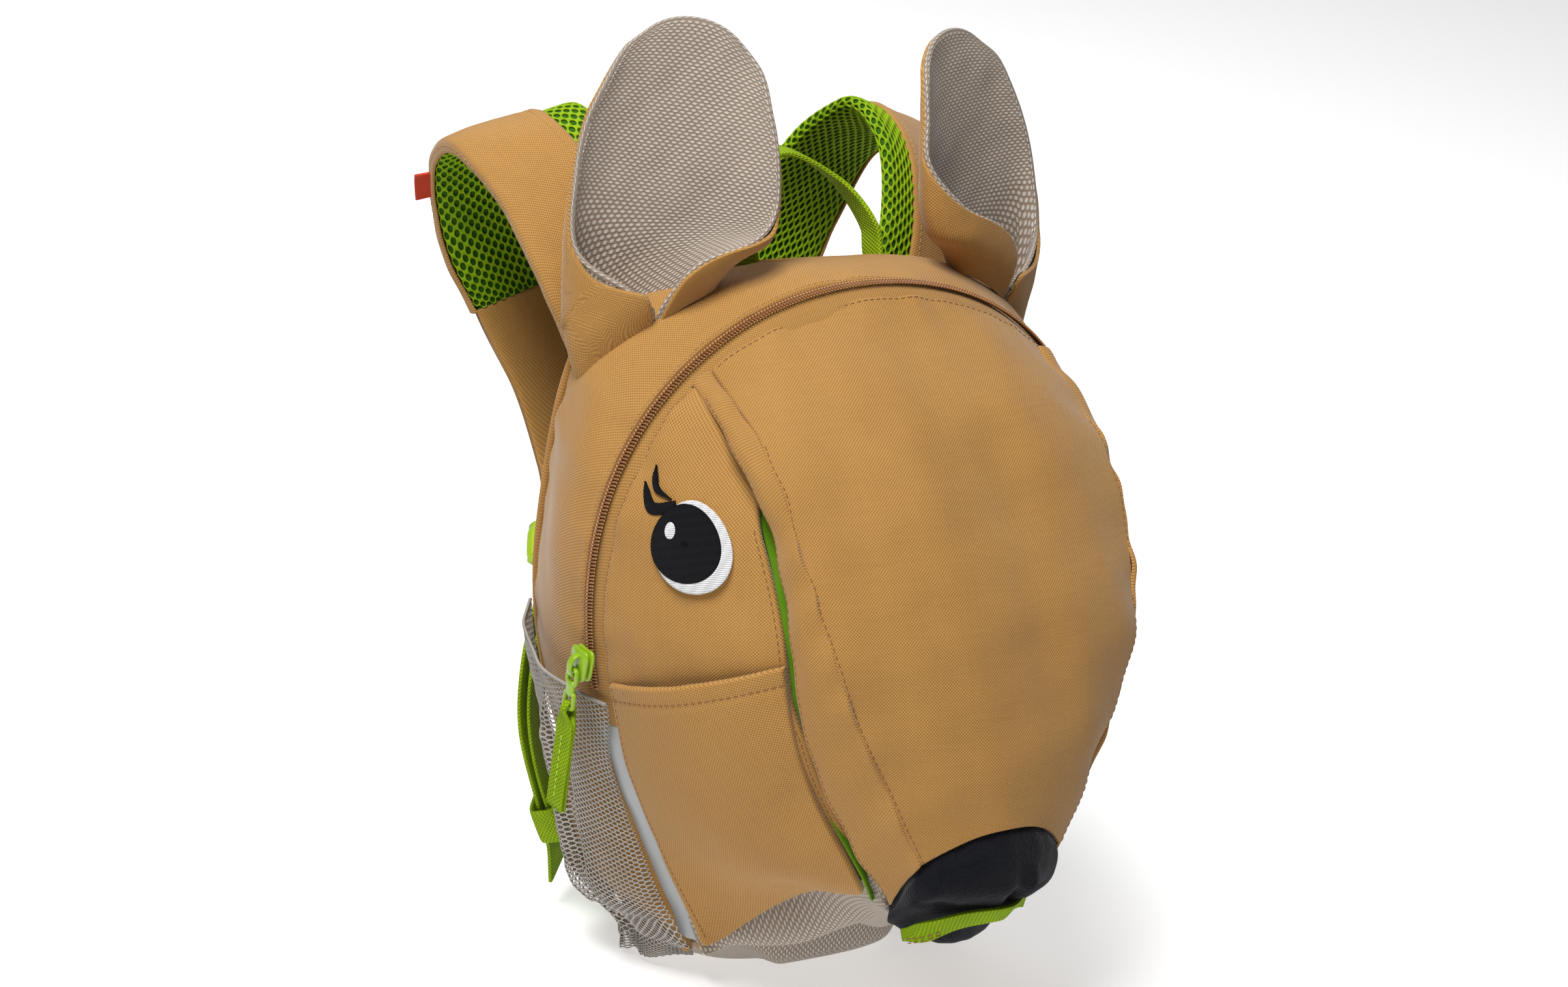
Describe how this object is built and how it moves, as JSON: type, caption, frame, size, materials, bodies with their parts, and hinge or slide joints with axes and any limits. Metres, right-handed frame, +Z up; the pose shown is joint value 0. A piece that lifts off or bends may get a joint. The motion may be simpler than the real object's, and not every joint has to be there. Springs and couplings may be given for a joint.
{
  "type": "kids backpack",
  "caption": "Child's backpack shaped like a fawn's head, with a zipped main compartment, a muzzle pocket with side slits, net side pockets, padded shoulder straps and a haul loop.",
  "frame": {"origin": "on the underside of the base, on the middle plane of the bag, a little behind the base's centre", "axes": "+Z up, -Y towards the nose, +Y towards the child's back, +X to the right of a viewer in front"},
  "size_m": [0.2213, 0.2831, 0.3435],
  "materials": {
    "brown_cloth": "plain-weave polyester",
    "beige_weave": "two-tone basket weave",
    "spacer_mesh": "spacer mesh with round holes",
    "green_webbing": "ribbed webbing",
    "green_lining": "thin woven lining",
    "lime_plastic": "moulded",
    "lime_metal": "satin paint",
    "black_fleece": "short fleece",
    "grey_net": "knitted net",
    "reflective": "satin reflective tape",
    "zip_tape": "woven tape",
    "zip_coil": "nylon coil",
    "embroidery": "satin stitch",
    "label": "plain woven tab"
  },
  "bodies": {
    "bag": {"gusset": "brown_cloth", "back_panel": "brown_cloth", "muzzle_front": "brown_cloth", "cheek_left": "brown_cloth", "cheek_right": "brown_cloth", "cheek_pocket_left": "brown_cloth", "cheek_pocket_right": "brown_cloth", "muzzle_side_left": "brown_cloth", "muzzle_side_right": "brown_cloth", "ear_left_back": "brown_cloth", "ear_right_back": "brown_cloth", "strap_left_cover": "brown_cloth", "strap_right_cover": "brown_cloth", "strap_left_tail": "brown_cloth", "strap_right_tail": "brown_cloth", "base": "beige_weave", "ear_left_front": "beige_weave", "ear_right_front": "beige_weave", "strap_left_pad": "spacer_mesh", "strap_right_pad": "spacer_mesh", "nose_webbing": "green_webbing", "haul_loop": "green_webbing", "anchor_webbing_left": "green_webbing", "anchor_webbing_right": "green_webbing", "free_webbing_left": "green_webbing", "free_webbing_right": "green_webbing", "keeper_left": "green_webbing", "keeper_right": "green_webbing", "front_lining": "green_lining", "ladder_lock_left": "lime_plastic", "ladder_lock_right": "lime_plastic", "zip_slider": "lime_metal", "nose": "black_fleece", "mesh_pocket_left": "grey_net", "mesh_pocket_right": "grey_net", "reflective_strip_left": "reflective", "reflective_strip_right": "reflective", "zip_tape": "zip_tape", "zip_coil": "zip_coil", "eye_left": "embroidery", "eye_right": "embroidery", "strap_label": "label"},
    "zip_pull": {"zip_pull": "lime_metal", "zip_tab": "green_webbing"}
  },
  "joints": [
    {"name": "pull_hinge", "type": "hinge", "parent": "bag", "child": "zip_pull", "pos_m": [-0.11022, -0.04036, 0.13126], "axis": [0, 1, 0], "range_deg": [0, 110]}
  ]
}
